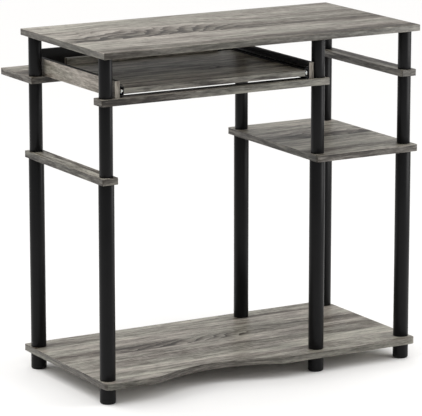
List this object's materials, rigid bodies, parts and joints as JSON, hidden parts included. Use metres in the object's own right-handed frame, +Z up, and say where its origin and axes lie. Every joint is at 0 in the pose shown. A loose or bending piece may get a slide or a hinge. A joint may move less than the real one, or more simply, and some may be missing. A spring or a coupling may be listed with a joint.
{
  "type": "computer desk with keyboard tray",
  "caption": "Narrow wood-look computer desk on stacked black tube posts, with a slide-out keyboard tray over the leg room, a small side shelf and a full-width bottom shelf.",
  "frame": {"origin": "on the floor, at the middle of the desk's overall width and depth", "axes": "+X to the right along the desk's width, -Y towards the sitter, +Z up"},
  "size_m": [0.775, 0.4836, 0.75],
  "materials": {
    "wood_laminate": "satin grey-brown wood-grain laminate",
    "black_board": "smooth black facing",
    "black_foot": "satin moulded plastic",
    "black_tube": "satin extruded plastic",
    "black_plug": "moulded plastic",
    "black_steel": "satin black electrocoat",
    "bright_steel": "zinc-plated",
    "white_nylon": "smooth nylon"
  },
  "bodies": {
    "root": {"tabletop": "wood_laminate", "bottom_shelf": "wood_laminate", "small_shelf": "wood_laminate", "left_strip": "wood_laminate", "right_strip": "wood_laminate", "front_rail": "wood_laminate", "rear_board": "wood_laminate", "left_side_board": "wood_laminate", "right_side_board": "wood_laminate", "tray_stop": "wood_laminate", "back_panel": "black_board", "foot_front_left": "black_foot", "foot_front_inner": "black_foot", "foot_front_right": "black_foot", "foot_rear_left": "black_foot", "foot_rear_inner": "black_foot", "foot_rear_right": "black_foot", "lower_tube_front_left": "black_tube", "lower_tube_front_inner": "black_tube", "lower_tube_front_right": "black_tube", "lower_tube_rear_left": "black_tube", "lower_tube_rear_inner": "black_tube", "lower_tube_rear_right": "black_tube", "mid_tube_front_left": "black_tube", "mid_tube_front_inner": "black_tube", "mid_tube_front_right": "black_tube", "mid_tube_rear_left": "black_tube", "mid_tube_rear_inner": "black_tube", "mid_tube_rear_right": "black_tube", "top_tube_front_left": "black_tube", "top_tube_front_inner": "black_tube", "top_tube_front_right": "black_tube", "top_tube_rear_left": "black_tube", "top_tube_rear_inner": "black_tube", "top_tube_rear_right": "black_tube", "lower_socket_plugs": "black_plug", "lower_stud_plugs": "black_plug", "mid_socket_plugs": "black_plug", "mid_stud_plugs": "black_plug", "top_socket_plugs": "black_plug", "top_stud_plugs": "black_plug", "top_inserts": "black_plug", "left_slide_outer": "black_steel", "right_slide_outer": "black_steel", "slide_screws": "bright_steel", "side_board_screws": "bright_steel", "stop_screws": "bright_steel"},
    "tray": {"keyboard_tray": "wood_laminate", "left_slide_inner": "black_steel", "right_slide_inner": "black_steel", "slide_bumpers": "white_nylon", "tray_screws": "bright_steel"},
    "left_cage": {"left_slide_cage": "black_steel", "left_slide_balls": "bright_steel"},
    "right_cage": {"right_slide_cage": "black_steel", "right_slide_balls": "bright_steel"}
  },
  "joints": [
    {"name": "tray_slide", "type": "slide", "parent": "root", "child": "tray", "axis": [0, -1, 0], "range_m": [0, 0.24]},
    {"name": "left_cage_slide", "type": "slide", "parent": "root", "child": "left_cage", "axis": [0, -1, 0], "range_m": [0, 0.12]},
    {"name": "right_cage_slide", "type": "slide", "parent": "root", "child": "right_cage", "axis": [0, -1, 0], "range_m": [0, 0.12]}
  ],
  "couplings": [
    {"joint": "left_cage_slide", "follows": "tray_slide", "ratio": 0.5},
    {"joint": "right_cage_slide", "follows": "tray_slide", "ratio": 0.5}
  ]
}
